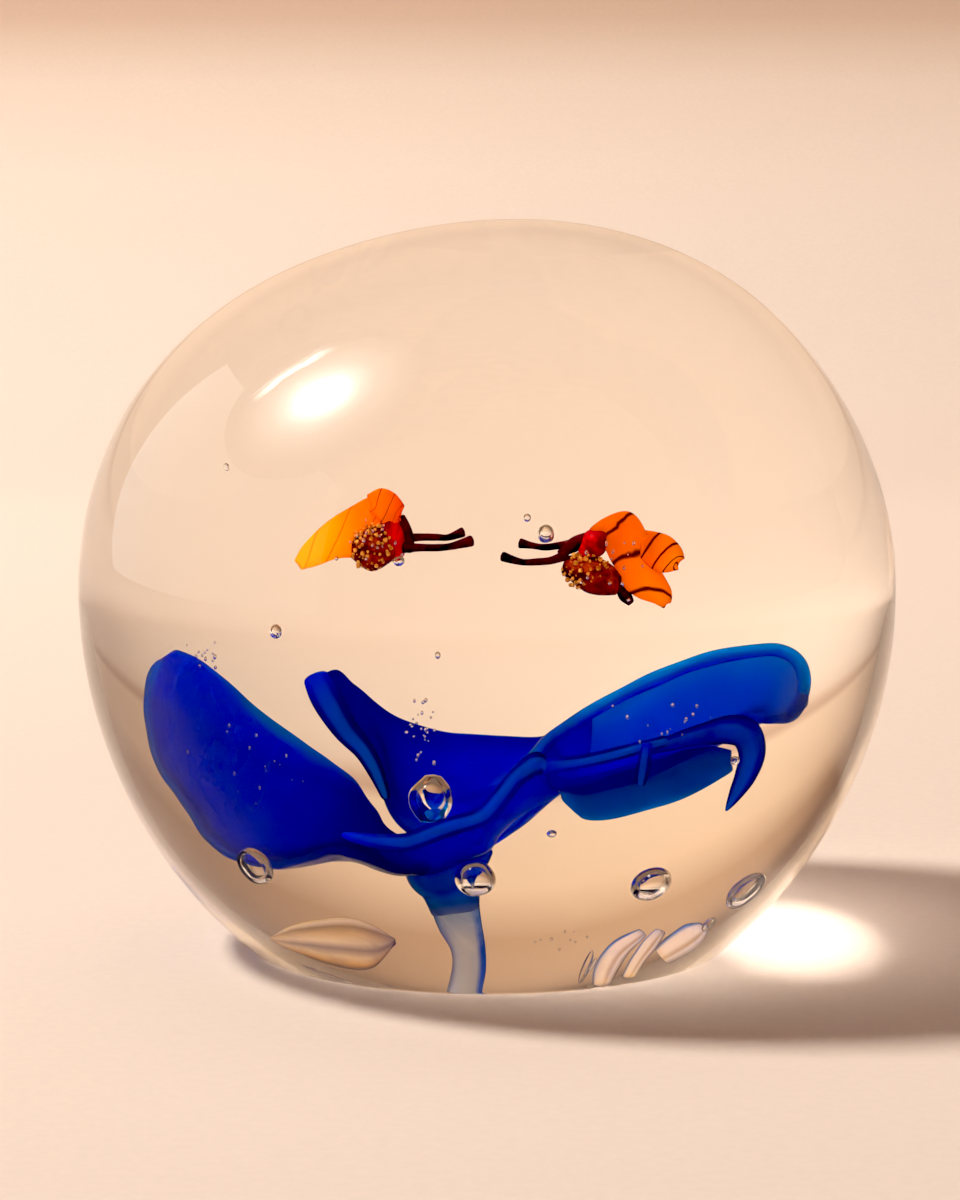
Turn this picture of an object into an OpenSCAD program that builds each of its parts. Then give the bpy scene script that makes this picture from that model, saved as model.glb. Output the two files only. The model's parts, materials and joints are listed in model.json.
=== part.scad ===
// Clear glass paperweight with a blue flower and two butterflies sealed inside.
// The origin is the centre of the ground base, +Z is up and -Y is the front.

/* [Clear glass] */
// Greatest width of the glass
casing_w = 80; // [78:0.5:84]
// Height of the crown above the base
casing_h = 71.5; // [71:0.5:74]
// Height of the widest level above the base
waist_z = 35.3; // [34.5:0.1:36]
// Radius of the shoulder, seen from the side
shoulder_r = 35.2; // [34.5:0.1:35.5]
// Radius of the flank below the widest level
flank_r = 46.3; // [45:0.1:47]
// Rounding where the flank meets the ground base
base_edge_r = 1.5; // [1:0.1:2.5]

/* [Flower] */
// Thickness of the petal glass
petal_t = 1.1; // [0.8:0.05:1.3]
// Radius of the rolled lip at the front of the throat
lip_r = 0.6; // [0.45:0.05:0.7]
// Radius of the rolled rim of the right petal
rim_r = 0.5; // [0.4:0.05:0.6]
// Thickness of the flower stem
stem_w = 2.6; // [2.2:0.1:3]
// Height of the foot of the stem above the base
stem_foot_z = 1.2; // [1:0.1:2]

/* [Butterflies] */
// Thickness of a wing
wing_t = 0.9; // [0.6:0.05:1]
// Radius of an antenna
antenna_r = 0.24; // [0.18:0.02:0.3]
// Radius of one gold grain
gold_r = 0.16; // [0.1:0.02:0.2]
// Distance of the butterflies in front of the middle
butterfly_y = 2; // [1.5:0.1:2.5]

/* [Hidden] */

casing_r = casing_w / 2;
sheet_rings = 12;
sheet_sides = 10;
tube_rings = 10;
tube_sides = 8;
small_rings = 7;
small_sides = 8;
round_fn = 180;
bubble_fn = 32;
ball_fn = 18;
step = 0.01;

// Shoulder arc and crown arc share a tangent. The crown's centre is on the axis.
shoulder_x = casing_r - shoulder_r;
shoulder_rise = casing_h - waist_z - shoulder_r;
crown_drop = (shoulder_x * shoulder_x - shoulder_rise * shoulder_rise) / (2 * shoulder_rise);
crown_r = casing_h - waist_z + crown_drop;
flank_x = casing_r - flank_r;
base_edge_x = flank_x + sqrt(pow(flank_r - base_edge_r, 2) - pow(waist_z - base_edge_r, 2));

// Centre line of the stem, from its foot to the calyx
stem_path = [
    [-1.9, 0, stem_foot_z], [-1.7, 0, 4], [-1.3, 0, 7], [-1.3, 0, 9.5], [-1.7, 0, 11.5], [-2, 0, 13.4]
];
stem_swell = [0.7, 0.98, 0.85, 0.9, 1.05, 1.25];

// Centre line of the calyx, the funnel under the throat
calyx_path = [[-2.1, 0, 12.8], [-2.3, -0.4, 14.2], [-2.7, -1, 15.6], [-2.8, -1.4, 17]];
calyx_radii = [1.6, 1.9, 2.5, 2.9];

// Rolled lip from the left petal round the front of the throat to the knob
lip_path = [
    [-9.6, -8.6, 17.7], [-6.2, -8.6, 17.3], [-2.7, -8.4, 18.7], [-0.4, -8, 19.6],
    [0.9, -7.4, 21], [2, -6.9, 22.4], [3.5, -6, 23.3]
];
// Bottom of the throat under that lip
throat_front = [
    [-5.8, -4.2, 16], [-3.9, -3.2, 15.9], [-2.3, -2.8, 16.3], [-0.4, -2.2, 17.2],
    [0.4, -3, 18.5], [2.2, -3.8, 20], [4.3, -4.2, 21.3]
];
front_sag = [[0, -0.1, -0.3], [0, -0.2, -0.9], [0, 0, -0.4]];
left_far_rim = [
    [-3.6, 2, 16.8], [-6.2, 3, 19.3], [-7, 3, 21.6], [-9.3, 2.5, 24.1], [-12.6, 1.6, 26.5],
    [-16.9, 0, 29.4], [-19.6, -2, 30.8], [-22.1, -4, 31.1]
];
left_near_rim = [
    [-4, -4, 16.2], [-6.8, -7.4, 15.7], [-10.9, -9, 16.8], [-14.8, -9.9, 15.1], [-18.8, -10, 14.9],
    [-22.3, -10, 16.7], [-25.3, -9.2, 21.8], [-25.6, -7, 27.2]
];
left_sag = [[0, 0, -0.5], [0, 1.5, -1.4], [0, 2.6, -1.6], [0, 2, -1], [0, 0.6, -0.2]];
back_top_rim = [
    [-9.9, 9, 28.6], [-8.6, 9.8, 28.3], [-6.7, 10, 26.8], [-3.6, 10, 25.2], [0.6, 9.8, 24.7],
    [4.6, 7.4, 25.2]
];
back_bottom = [
    [-9.8, 8.8, 28.1], [-7.4, 6.9, 23.9], [-5.8, 3.8, 19.6], [-3, 2.2, 17.2], [0.4, 2, 18.2],
    [3.4, 2, 20.8]
];
back_sag = [[0, 0, 0], [0, 1.4, -0.4], [0, 1.4, -1], [0, 0, -1.5]];
back_roll_path = [[-10.2, 9, 28.8], [-9.4, 8.4, 26.7], [-7.9, 7.4, 24.4], [-6.6, 5.6, 21.6]];
back_roll_radii = [0.85, 0.75, 0.55, 0.4];
right_far_rim = [
    [3.6, -2.4, 24], [4.8, 2, 25.4], [7.4, 4.8, 27], [10.7, 5, 28.8], [14.2, 4.4, 30.3],
    [18, 2.9, 31], [20.6, 1.2, 30.4], [21.4, 0.4, 28.2]
];
right_near_rim = [
    [3.9, -5.4, 22.9], [6.7, -5.8, 23.5], [9.2, -6, 24.2], [11.6, -5.7, 24.5], [14, -5.6, 25.5],
    [16.4, -5.2, 26.4], [18.6, -4.4, 26.4], [20.3, -1.2, 26.1]
];
right_sag = [[0, 0, -1.4], [0, 0, -3], [0, 0.3, -3.6], [0, 0.6, -2.8], [0.4, 0.6, -1.4], [0.6, 0, 0]];
right_roll_path = [
    [3.5, -6, 23.2], [5.6, -6.1, 23.4], [7.8, -6.2, 23.8], [10.2, -6.1, 24.4], [12.6, -5.8, 24.9]
];
flap_top = [[4.6, -4, 21.4], [7.4, -4, 22.2], [10.2, -4, 23], [13.3, -4.2, 24.2], [16.9, -4.4, 24.4]];
flap_bottom = [[5.8, -3, 19.7], [7.8, -3, 19.2], [10.8, -3, 19.9], [13.6, -3, 21], [16.6, -3.4, 22.7]];
flap_sag = [[0, -0.4, 0], [0, -0.4, 0]];
hook_path = [
    [11.3, -5.7, 24.3], [14.6, -5.4, 25.3], [17.8, -5.1, 25.6], [18.8, -5, 23.8], [18.1, -5, 21.7],
    [16.8, -5, 19.5]
];
hook_radii = [0.42, 0.8, 1.15, 1.05, 0.8, 0.2];
rib_path = [[11.1, -6.5, 24.7], [11, -6.1, 23.5], [10.6, -5, 21.8]];

// Butterfly outlines, drawn on the plane of the butterflies as [x, z]
left_fore_top = [[-12.7, 37.5], [-12, 38.3], [-10.6, 39.6], [-9.3, 40.6], [-7.8, 41], [-6.8, 40.2]];
left_fore_low = [[-12.6, 37.1], [-11.6, 37.1], [-10.4, 37.3], [-9.4, 37.3], [-8.2, 37.1], [-6.9, 37.6]];
left_hind_top = [[-7.9, 40.9], [-7.2, 41.2], [-6.4, 40.9], [-5.8, 40.2]];
left_hind_low = [[-7.9, 40.5], [-7.2, 39.8], [-6.5, 39.5], [-5.9, 39.9]];
right_fore_top = [[7.3, 39], [8.1, 39.6], [9.3, 40], [10.1, 39.6], [10.7, 38.6], [11.1, 37], [12.1, 35.3]];
right_fore_low = [[7.4, 38.6], [7.9, 38], [8.3, 37.2], [8.8, 36.4], [9.3, 35.4], [10.4, 34.9], [11.8, 34.6]];
right_hind_top = [[10.4, 38.8], [11.2, 38.6], [12, 38.3], [12.7, 37.6], [12.8, 37]];
right_hind_low = [[10.6, 37.4], [11, 36.9], [11.6, 36.6], [12.2, 36.6], [12.7, 36.8]];

// Air bubbles as [position, radius]
bubbles = [
    [[-18.3, -14, 14.3], 0.8], [[-0.9, -10, 14.5], 1.35], [[12.4, -12, 13.4], 1.3],
    [[21.1, -8, 11.3], 1.4], [[4, -3, 39], 0.6], [[2.7, -2, 39.9], 0.27], [[-15.1, -8, 33.1], 0.45],
    [[-18.6, -4, 43.8], 0.25], [[-3.4, -4, 31.1], 0.2], [[4.5, -8, 18.1], 0.33],
    [[18.1, -9, 23.3], 0.33], [[-22, -9.5, 32], 0.33], [[-6.1, -4.4, 37.4], 0.4]
];
throat_bubble_path = [[-3.8, -3.4, 19.4], [-3.8, -3.4, 20.2], [-3.8, -3.4, 21.2], [-3.8, -3.4, 22.3]];
throat_bubble_radii = [0.5, 1.4, 1.45, 0.3];

// Point or value at t, from 0 to 1, on the smooth curve through p
function along(p, t) =
    let (
        n = len(p) - 1,
        s = max(0, min(floor(t * n), n - 1)),
        f = t * n - s,
        a = p[max(s - 1, 0)],
        b = p[s],
        c = p[s + 1],
        d = p[min(s + 2, n)]
    )
    b + f * ((c - a) + f * ((2 * a - 5 * b + 4 * c - d) + f * (3 * b - a - 3 * c + d))) / 2;

function unit(v) = v / norm(v);

// Thickness factor that rounds both ends of a piece
function round_ends(u) = let (e = min(u, 1 - u) / 0.08) e >= 1 ? 1 : 0.15 + 0.85 * sqrt(e * (2 - e));

// Point on the middle surface of a sheet between two rims. Its middle sags by the vectors of sag.
function sheet_at(far, near, sag, u, v) =
    along(far, u) * (1 - v) + along(near, u) * v + along(sag, u) * 4 * v * (1 - v);

function sheet_normal(far, near, sag, u, v) =
    unit(cross(
        sheet_at(far, near, sag, u + step, v) - sheet_at(far, near, sag, u - step, v),
        sheet_at(far, near, sag, u, v + step) - sheet_at(far, near, sag, u, v - step)
    ));

// Closed solid through rings of points that all have the same even count
module loft(rings) {
    n = len(rings[0]);
    last = len(rings) - 1;
    sides = [
        for (i = [0:last - 1], k = [0:n - 1])
            let (a = i * n + k, b = i * n + (k + 1) % n)
                each [[a, b, b + n], [a, b + n, a + n]]
    ];
    cap = [
        for (k = [0:n / 2 - 1])
            each [
                if (k > 0) [n - k, k + 1, k],
                if (k == 0) [n - 1, 1, 0],
                if (k > 0 && k < n / 2 - 1) [n - k, n - k - 1, k + 1]
            ]
    ];
    end_cap = [for (f = cap) [f[2] + last * n, f[1] + last * n, f[0] + last * n]];
    polyhedron([for (r = rings) each r], concat(sides, cap, end_cap));
}

// Sheet of glass between a far rim and a near rim, with rounded edges
module sheet(far, near, sag, thick, rings = sheet_rings, sides = sheet_sides) {
    loft([
        for (i = [0:rings])
            let (u = i / rings)
                [
                    for (k = [0:sides - 1])
                        let (w = 360 * k / sides, v = (1 - cos(w)) / 2)
                            sheet_at(far, near, sag, u, v)
                            + sheet_normal(far, near, sag, u, v) * sin(w) * round_ends(u) * thick / 2
                ]
    ]);
}

// Round rod along a path, with a radius for each point of radii
module rod(path, radii, rings = tube_rings, sides = tube_sides) {
    loft([
        for (i = [0:rings])
            let (
                u = i / rings,
                ahead = unit(along(path, min(u + step, 1)) - along(path, max(u - step, 0))),
                across = unit(cross(ahead, [0.1, 1, 0.13])),
                upright = cross(across, ahead),
                r = along(radii, u) * round_ends(u)
            )
                [
                    for (k = [0:sides - 1])
                        along(path, u) + r * (cos(360 * k / sides) * across + sin(360 * k / sides) * upright)
                ]
    ]);
}

function in_plane(p, y) = [p[0], y, p[1]];

// Wing between two outlines. The far rim leans back by the given distance.
module wing(top, low, lean, thick = wing_t) {
    sheet(
        [for (p = top) in_plane(p, -butterfly_y + lean)],
        [for (p = low) in_plane(p, -butterfly_y - lean / 2)],
        [[0, 0, 0], [0, 0, 0]], thick, small_rings, small_sides
    );
}

// Plump body from a to b
module plump(a, b, r) {
    rod([in_plane(a, -butterfly_y), in_plane((a + b) / 2, -butterfly_y), in_plane(b, -butterfly_y)],
        [r * 0.45, r, r * 0.45], small_rings, small_sides);
}

module antenna(points, near) {
    rod([for (p = points) in_plane(p, -butterfly_y - near)],
        [antenna_r * 1.5, antenna_r * 1.1, antenna_r, antenna_r * 1.3], small_rings, 6);
}

// Gold grains spread just under the front of a body by the golden angle
module grains(centre, r, count) {
    for (i = [1:count]) {
        tilt = 80 * sqrt(i / count);
        turn = i * 137.5;
        translate(in_plane(centre, -butterfly_y)
            + r * [sin(tilt) * cos(turn), -cos(tilt), sin(tilt) * sin(turn)])
            sphere(gold_r, $fn = 16);
    }
}

// Outline of the glass from its axis outwards, made of tangent arcs
module casing_outline() {
    crown_z = waist_z - crown_drop;
    joint = [shoulder_x, crown_drop] * 3 * casing_r / norm([shoulder_x, crown_drop]);
    edge = [base_edge_x - flank_x, base_edge_r - waist_z] * 2;
    intersection() {
        translate([0, crown_z]) circle(crown_r, $fn = round_fn);
        polygon([[0, crown_z], [0, crown_z] + joint, [0, 3 * casing_r]]);
    }
    intersection() {
        translate([shoulder_x, waist_z]) circle(shoulder_r, $fn = round_fn);
        translate([0, waist_z]) square([casing_w, casing_h]);
    }
    intersection() {
        translate([flank_x, waist_z]) circle(flank_r, $fn = round_fn);
        square([casing_w, waist_z]);
        union() {
            square([base_edge_x, waist_z]);
            polygon([[flank_x, waist_z], [flank_x, waist_z] + edge, [casing_w, waist_z]]);
            translate([base_edge_x, base_edge_r]) circle(base_edge_r, $fn = 60);
        }
    }
}

module raw_stem() { rod(stem_path, stem_swell * stem_w / 2, 12, 10); }
module raw_calyx() { rod(calyx_path, calyx_radii, 7, 12); }
module raw_front() { sheet(throat_front, lip_path, front_sag, petal_t); }
module raw_left() { sheet(left_far_rim, left_near_rim, left_sag, petal_t * 1.2, 18, 12); }
module raw_back() { sheet(back_top_rim, back_bottom, back_sag, petal_t); }
module raw_right() { sheet(right_far_rim, right_near_rim, right_sag, petal_t, 18, 12); }
module raw_flap() { sheet(flap_top, flap_bottom, flap_sag, petal_t * 0.9, 10, 10); }
module raw_lip() { rod(lip_path, [0.7, 1, 1.05, 1, 1.1, 1, 0.9] * lip_r, 14, 8); }
module raw_rim() { rod(right_roll_path, [1, 1, 1, 1.1, 0.9] * rim_r, 9, 8); }
module raw_back_roll() { rod(back_roll_path, back_roll_radii, 9, 8); }
module raw_hook() { rod(hook_path, hook_radii, 12, 8); }
module raw_rib() { rod(rib_path, [0.35, 0.4, 0.3], 6, 8); }
module raw_knob() { translate([3.6, -6, 23.25]) sphere(0.8, $fn = ball_fn); }

module raw_left_fore() { wing(left_fore_top, left_fore_low, 0.5); }
module raw_left_hind() { wing(left_hind_top, left_hind_low, 1.2); }
module raw_left_abdomen() { plump([-9.1, 37.9], [-6.3, 37.8], 1.5); }
module raw_left_thorax() { plump([-6.9, 40.1], [-6.1, 37.2], 0.8); }
module raw_left_head() { plump([-5.9, 39.9], [-5.2, 37.6], 0.5); }
module raw_left_near() { antenna([[-5.7, 37.8], [-3.8, 38.1], [-2.5, 38.1], [-0.9, 38.5]], 0.5); }
module raw_left_far() { antenna([[-5.6, 38.3], [-3.8, 38.5], [-2.6, 38.5], [-1.6, 38.9]], -0.6); }
module raw_left_gold() { grains([-7.7, 37.9], 1.12, 22); }

module raw_right_fore() { wing(right_fore_top, right_fore_low, 0.4); }
module raw_right_hind() { wing(right_hind_top, right_hind_low, 1.2); }
module raw_right_abdomen() { plump([5.2, 36.9], [9, 35.6], 1.2); }
module raw_right_thorax() { plump([6.4, 37.6], [7.9, 38.9], 0.75); }
module raw_right_head() { plump([4.9, 37.5], [6.8, 38.7], 0.5); }
module raw_right_upper() { antenna([[2.2, 38.1], [3.6, 37.9], [4.6, 38], [5.5, 38.1]], -0.4); }
module raw_right_lower() { antenna([[1.1, 37.4], [2.4, 37.1], [3.8, 37.1], [5.3, 37.6]], 0.5); }
module raw_right_foot() { plump([8.9, 35.4], [9.6, 34.6], 0.4); }
module raw_right_bead() { translate([7.6, -butterfly_y - 1.2, 36.8]) sphere(0.42, $fn = ball_fn); }
module raw_right_gold() { grains([6.5, 36.45], 0.72, 14); }

module air() {
    for (b = bubbles) translate(b[0]) sphere(b[1], $fn = bubble_fn);
    rod(throat_bubble_path, throat_bubble_radii, 10, 12);
}

module flower_stem() { color("lightsteelblue") raw_stem(); }
module flower_calyx() { color("steelblue") difference() { raw_calyx(); raw_stem(); } }
module front_lip() { color("mediumblue") raw_lip(); }
module lip_knob() { color("mediumblue") difference() { raw_knob(); raw_lip(); } }
module right_rim() { color("royalblue") difference() { raw_rim(); raw_knob(); raw_lip(); } }
module rim_hook() { color("royalblue") difference() { raw_hook(); raw_rim(); } }
module fold_rib() { color("mediumblue") difference() { raw_rib(); raw_rim(); } }
module petal_front() {
    color("blue") difference() {
        raw_front();
        raw_calyx();
        raw_lip();
        raw_knob();
    }
}
module petal_left() {
    color("blue") difference() {
        raw_left();
        raw_calyx();
        raw_lip();
        raw_front();
    }
}
module back_roll() { color("navy") difference() { raw_back_roll(); raw_left(); } }
module petal_back() {
    color("navy") difference() {
        raw_back();
        raw_back_roll();
        raw_calyx();
        raw_left();
        raw_front();
    }
}
module petal_right() {
    color("mediumblue") difference() {
        raw_right();
        raw_back();
        raw_front();
        raw_rim();
        raw_lip();
        raw_knob();
        raw_hook();
        raw_calyx();
        raw_rib();
    }
}
module right_flap() {
    color("royalblue") difference() {
        raw_flap();
        raw_right();
        raw_rib();
        raw_rim();
        raw_hook();
    }
}

module left_gold_grains() { color("gold") raw_left_gold(); }
module left_abdomen() { color("maroon") difference() { raw_left_abdomen(); raw_left_gold(); } }
module left_thorax() { color("crimson") difference() { raw_left_thorax(); raw_left_abdomen(); raw_left_gold(); } }
module left_head() {
    color("black") difference() {
        raw_left_head();
        raw_left_thorax();
        raw_left_abdomen();
        raw_left_gold();
    }
}
module left_antenna_near() { color("black") difference() { raw_left_near(); raw_left_head(); raw_left_thorax(); } }
module left_antenna_far() {
    color("black") difference() {
        raw_left_far();
        raw_left_head();
        raw_left_thorax();
        raw_left_near();
    }
}
module left_forewing() {
    color("orange") difference() {
        raw_left_fore();
        raw_left_abdomen();
        raw_left_thorax();
        raw_left_gold();
    }
}
module left_hindwing() {
    color("goldenrod") difference() {
        raw_left_hind();
        raw_left_thorax();
        raw_left_head();
        raw_left_fore();
    }
}

module right_gold_grains() { color("gold") raw_right_gold(); }
module right_bead() { color("darkorange") difference() { raw_right_bead(); raw_right_gold(); } }
module right_abdomen() { color("maroon") difference() { raw_right_abdomen(); raw_right_gold(); raw_right_bead(); } }
module right_thorax() {
    color("crimson") difference() {
        raw_right_thorax();
        raw_right_abdomen();
        raw_right_gold();
    }
}
module right_head() {
    color("black") difference() {
        raw_right_head();
        raw_right_thorax();
        raw_right_abdomen();
        raw_right_gold();
    }
}
module right_antenna_upper() { color("black") difference() { raw_right_upper(); raw_right_head(); } }
module right_antenna_lower() {
    color("black") difference() {
        raw_right_lower();
        raw_right_head();
        raw_right_upper();
        raw_right_abdomen();
        raw_right_gold();
    }
}
module right_foot() { color("black") difference() { raw_right_foot(); raw_right_abdomen(); } }
module right_forewing() {
    color("darkorange") difference() {
        raw_right_fore();
        raw_right_abdomen();
        raw_right_thorax();
        raw_right_foot();
        raw_right_gold();
    }
}
module right_hindwing() { color("goldenrod") difference() { raw_right_hind(); raw_right_fore(); } }

// Everything sealed in the glass, joined into one closed mesh so that the cavity has one clean wall.
// A resize to zero keeps the size.
module sealed_in() {
    resize([0, 0, 0]) union() {
        raw_stem();
        raw_calyx();
        raw_front();
        raw_left();
        raw_back();
        raw_back_roll();
        raw_right();
        raw_flap();
        raw_lip();
        raw_rim();
        raw_hook();
        raw_rib();
        raw_knob();
        raw_left_fore();
        raw_left_hind();
        raw_left_abdomen();
        raw_left_thorax();
        raw_left_head();
        raw_left_near();
        raw_left_far();
        raw_right_fore();
        raw_right_hind();
        raw_right_abdomen();
        raw_right_thorax();
        raw_right_head();
        raw_right_upper();
        raw_right_lower();
        raw_right_foot();
        raw_right_bead();
    }
}

module clear_casing() {
    color("wheat", 0.3) difference() {
        rotate_extrude($fn = round_fn) casing_outline();
        sealed_in();
        air();
    }
}

clear_casing();
flower_stem();
flower_calyx();
petal_front();
petal_left();
petal_back();
back_roll();
petal_right();
right_flap();
front_lip();
right_rim();
rim_hook();
fold_rib();
lip_knob();
left_forewing();
left_hindwing();
left_abdomen();
left_thorax();
left_head();
left_antenna_near();
left_antenna_far();
left_gold_grains();
right_forewing();
right_hindwing();
right_abdomen();
right_thorax();
right_head();
right_antenna_upper();
right_antenna_lower();
right_foot();
right_bead();
right_gold_grains();
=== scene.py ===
"""The looks of a clear glass paperweight with a blue flower and two butterflies sealed inside."""

import json
import math

import bmesh
import bpy
import numpy as np
from mathutils import Euler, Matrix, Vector

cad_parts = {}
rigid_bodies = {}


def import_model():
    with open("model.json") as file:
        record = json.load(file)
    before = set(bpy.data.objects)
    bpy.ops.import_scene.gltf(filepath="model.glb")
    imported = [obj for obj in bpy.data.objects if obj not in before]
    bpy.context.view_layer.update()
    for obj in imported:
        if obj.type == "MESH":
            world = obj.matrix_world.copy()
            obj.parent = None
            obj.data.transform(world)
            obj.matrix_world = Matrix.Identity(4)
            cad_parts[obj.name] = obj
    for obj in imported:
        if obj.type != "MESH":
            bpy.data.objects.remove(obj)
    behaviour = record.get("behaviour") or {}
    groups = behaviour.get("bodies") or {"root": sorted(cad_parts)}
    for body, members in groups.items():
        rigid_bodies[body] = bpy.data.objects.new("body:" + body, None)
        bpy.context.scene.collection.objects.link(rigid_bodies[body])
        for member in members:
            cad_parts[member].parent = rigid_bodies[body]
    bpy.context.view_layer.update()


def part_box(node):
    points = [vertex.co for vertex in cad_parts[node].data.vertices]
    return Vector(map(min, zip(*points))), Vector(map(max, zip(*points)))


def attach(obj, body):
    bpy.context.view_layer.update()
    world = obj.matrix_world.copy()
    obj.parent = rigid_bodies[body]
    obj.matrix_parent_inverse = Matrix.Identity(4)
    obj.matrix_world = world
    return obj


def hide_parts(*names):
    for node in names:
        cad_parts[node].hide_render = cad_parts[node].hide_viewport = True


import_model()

MM = 0.001

# The glass body: the same arcs as the CAD outline, in millimetres
body_low, body_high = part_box("clear_casing")
BODY_R = (body_high.x - body_low.x) / 2 / MM
BODY_H = body_high.z / MM
WAIST_Z = 35.3
SHOULDER_R = 35.2
FLANK_R = 46.3
BASE_EDGE_R = 1.5
LEAN = 2.8
BUTTERFLY_Y = -2.0
DISH_DEPTH = 0.13


# Curves and meshes

def along(points, t):
    """Points at t, from 0 to 1, on the smooth curve through points. t is a number or an array."""
    p = np.array(points, float)
    if p.ndim == 1:
        p = p[:, None]
    n = len(p) - 1
    t = np.atleast_1d(np.asarray(t, float)) * n
    s = np.clip(np.floor(t).astype(int), 0, n - 1)
    f = (t - s)[:, None]
    a, b, c, d = p[np.maximum(s - 1, 0)], p[s], p[s + 1], p[np.minimum(s + 2, n)]
    return b + f * ((c - a) + f * ((2 * a - 5 * b + 4 * c - d) + f * (3 * b - a - 3 * c + d))) / 2


def unit(v):
    """v at length one."""
    return v / np.maximum(np.linalg.norm(v, axis=-1, keepdims=True), 1e-12)


def ripple(p, scale, seed=0):
    """Smooth noise of about unit size at points p, in millimetres, with waves about scale long."""
    rng = np.random.RandomState(seed)
    total = np.zeros(p.shape[:-1])
    for _ in range(7):
        way = unit(rng.normal(size=3)) * rng.uniform(0.6, 1.5)
        total += np.sin(p @ way * 2 * math.pi / scale + rng.uniform(0, 6.3))
    return total / 3.5


def make_piece(name, verts, faces, attributes=None):
    """A smooth shaded object from points in millimetres."""
    mesh = bpy.data.meshes.new(name)
    mesh.from_pydata((np.asarray(verts) * MM).tolist(), [], faces)
    for key, values in (attributes or {}).items():
        layer = mesh.attributes.new(key, "FLOAT", "POINT")
        layer.data.foreach_set("value", np.asarray(values, np.float32))
    mesh.shade_smooth()
    mesh.update()
    ob = bpy.data.objects.new(name, mesh)
    bpy.context.scene.collection.objects.link(ob)
    return ob


def finish_piece(ob, material, slot, *nodes):
    """Gives a piece its material and its CAD body, and hides the CAD nodes that it stands for. slot is not
    used.
    """
    ob.data.materials.clear()
    ob.data.materials.append(material)
    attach(ob, "root")
    if nodes:
        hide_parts(*nodes)
    return ob


def loft(rings, start=0):
    """Points and faces of a closed skin through an array of rings x sides x 3, with fans at the ends."""
    count, sides = rings.shape[:2]
    first, last = rings[0].mean(0), rings[-1].mean(0)
    verts = np.concatenate([rings.reshape(-1, 3), [first, last]])
    faces = []
    for i in range(count - 1):
        for k in range(sides):
            a, b = i * sides + k, i * sides + (k + 1) % sides
            faces.append((start + a, start + b, start + b + sides, start + a + sides))
    low, high = count * sides, count * sides + 1
    end = (count - 1) * sides
    for k in range(sides):
        faces.append((start + low, start + (k + 1) % sides, start + k))
        faces.append((start + high, start + end + k, start + end + (k + 1) % sides))
    return verts, faces


def outward(ob):
    """Turns every face of a closed piece outwards."""
    bm = bmesh.new()
    bm.from_mesh(ob.data)
    bmesh.ops.recalc_face_normals(bm, faces=bm.faces)
    bm.to_mesh(ob.data)
    bm.free()
    return ob


def round_ends(u, share=0.06):
    """A width factor that rounds off both ends of u, from 0 to 1."""
    e = np.clip(np.minimum(u, 1 - u) / share, 0, 1)
    return 0.12 + 0.88 * np.sqrt(e * (2 - e))


def sheet(name, far, near, sag, thick, bead=0.25, rough=0.12, rings=110, sides=56, seed=1):
    """A sheet of hot-worked glass between two rims. bead thickens the rims and rough makes it uneven."""
    u = np.linspace(0, 1, rings)
    w = np.arange(sides) * 2 * math.pi / sides
    v = (1 - np.cos(w)) / 2
    rim_a, rim_b, belly = along(far, u), along(near, u), along(sag, u)

    def middle(vv):
        return (
            rim_a[:, None] * (1 - vv)[None, :, None]
            + rim_b[:, None] * vv[None, :, None]
            + belly[:, None] * (4 * vv * (1 - vv))[None, :, None]
        )

    mid = middle(v)
    du = np.gradient(mid, axis=0)
    dv = middle(np.clip(v + 0.01, 0, 1.01)) - middle(np.clip(v - 0.01, -0.01, 1))
    normal = unit(np.cross(du, dv))
    swell = 1 + bead * (2 * np.abs(v - 0.5)) ** 4
    half = thick / 2 * np.sin(w)[None, :] * swell[None, :] * round_ends(u)[:, None]
    rings_at = mid + normal * half[..., None]
    rings_at = rings_at + normal * (rough * ripple(mid, 9, seed))[..., None]
    rings_at = rings_at + normal * (rough * 0.25 * ripple(mid, 3.2, seed + 1))[..., None]
    verts, faces = loft(rings_at)
    return outward(make_piece(name, verts, faces, surface_place(u, v)))


def surface_place(u, v):
    """Attributes for rings at u with sides at v: run goes root to tip, and across goes edge to edge."""
    run = np.append(np.repeat(u, len(v)), [0, 1])
    across = np.append(np.tile(v, len(u)), [0.5, 0.5])
    return {"run": run, "across": across}


def rod_rings(path, radii, rings, sides, rough, seed, flat=1.0):
    """Rings of points round a path. flat squashes them."""
    u = np.linspace(0, 1, rings)
    mid = along(path, u)
    ahead = unit(np.gradient(mid, axis=0))
    across = unit(np.cross(ahead, np.array([0.1, 1, 0.13])))
    upright = np.cross(across, ahead)
    w = np.arange(sides) * 2 * math.pi / sides
    r = along(radii, u)[:, 0] * round_ends(u)
    ring = (
        np.cos(w)[None, :, None] * across[:, None] + flat * np.sin(w)[None, :, None] * upright[:, None]
    )
    at = mid[:, None] + r[:, None, None] * ring
    return at + ring * (rough * ripple(at, 5, seed) * np.minimum(r, 1)[:, None])[..., None]


def rod(name, path, radii, rings=70, sides=28, rough=0.06, seed=3, flat=1.0):
    """A round or flattened rod along a path, with a radius for each point of radii."""
    verts, faces = loft(rod_rings(path, radii, rings, sides, rough, seed, flat))
    around = (1 - np.cos(np.arange(sides) * 2 * math.pi / sides)) / 2
    return outward(make_piece(name, verts, faces, surface_place(np.linspace(0, 1, rings), around)))


# Materials

def new_material(name):
    mat = bpy.data.materials.new(name)
    mat.use_nodes = True
    tree = mat.node_tree
    tree.nodes.clear()
    out = tree.nodes.new("ShaderNodeOutputMaterial")
    return mat, tree, out


def node(tree, kind, **values):
    n = tree.nodes.new(kind)
    for key, value in values.items():
        setattr(n, key, value)
    return n


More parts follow.
